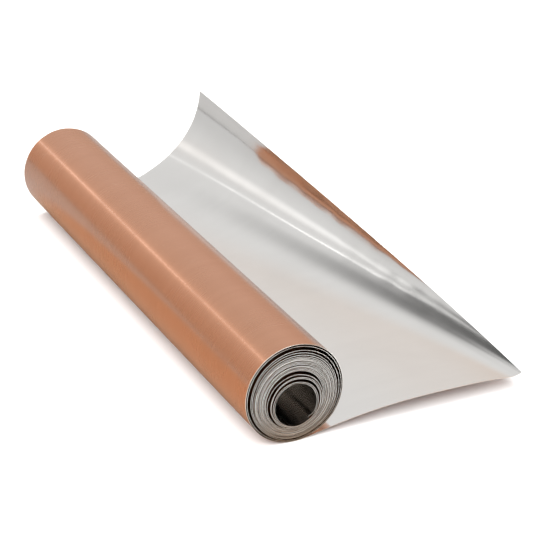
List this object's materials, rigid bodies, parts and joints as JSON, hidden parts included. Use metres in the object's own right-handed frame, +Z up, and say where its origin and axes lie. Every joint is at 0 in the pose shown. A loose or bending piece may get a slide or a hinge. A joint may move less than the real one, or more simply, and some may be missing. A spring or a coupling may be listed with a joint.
{
  "type": "metal foil roll",
  "caption": "Partly unrolled coreless roll of thin two-tone metal foil, copper-coloured outside and silver inside, with a curled free corner.",
  "frame": {"origin": "on the surface that the roll lies on, under the middle of the whole part", "axes": "+Y along the roll's axis, +X the way the strip unrolls, +Z up"},
  "size_m": [0.1446, 0.3, 0.0584],
  "materials": {
    "copper_face": "satin copper-coloured face",
    "silver_face": "bright mirror-like silver face"
  },
  "bodies": {
    "laid_foil": {"lead_out_web": "silver_face", "laid_sheet": "silver_face"},
    "corner": {"raised_corner": "silver_face"},
    "outer_wrap": {"turn_01": "copper_face", "turn_02": "copper_face"},
    "coil": {"turn_03": "copper_face", "turn_04": "copper_face", "turn_05": "copper_face", "turn_06": "copper_face", "turn_07": "copper_face"},
    "middle": {"turn_08": "copper_face", "turn_09": "copper_face", "turn_10": "copper_face", "turn_11": "copper_face", "turn_12": "copper_face", "turn_13": "copper_face", "turn_14": "copper_face", "turn_15": "copper_face", "turn_16": "copper_face", "turn_17": "copper_face"},
    "core": {"turn_18": "copper_face", "turn_19": "copper_face", "turn_20": "copper_face", "turn_21": "copper_face", "turn_22": "copper_face"}
  },
  "joints": [
    {"name": "roll_travel", "type": "slide", "parent": "laid_foil", "child": "outer_wrap", "axis": [1, 0, 0], "range_m": [-0.1535, 0.0085], "deforming": ["lead_out_web"]},
    {"name": "roll_turn", "type": "hinge", "parent": "outer_wrap", "child": "coil", "pos_m": [-0.04788, 0, 0.0245], "axis": [0, 1, 0], "range_deg": [-360, 20]},
    {"name": "middle_slide", "type": "slide", "parent": "coil", "child": "middle", "axis": [0, 1, 0], "range_m": [-0.04, 0.04]},
    {"name": "core_slide", "type": "slide", "parent": "middle", "child": "core", "axis": [0, 1, 0], "range_m": [-0.06, 0.06]},
    {"name": "corner_lift", "type": "hinge", "parent": "laid_foil", "child": "corner", "pos_m": [0.03435, 0, 0.00953], "axis": [0.2279, -0.9736, -0.016], "range_deg": [-25, 20]}
  ],
  "couplings": [
    {"joint": "roll_turn", "follows": "roll_travel", "rad_per_m": 40.816}
  ]
}
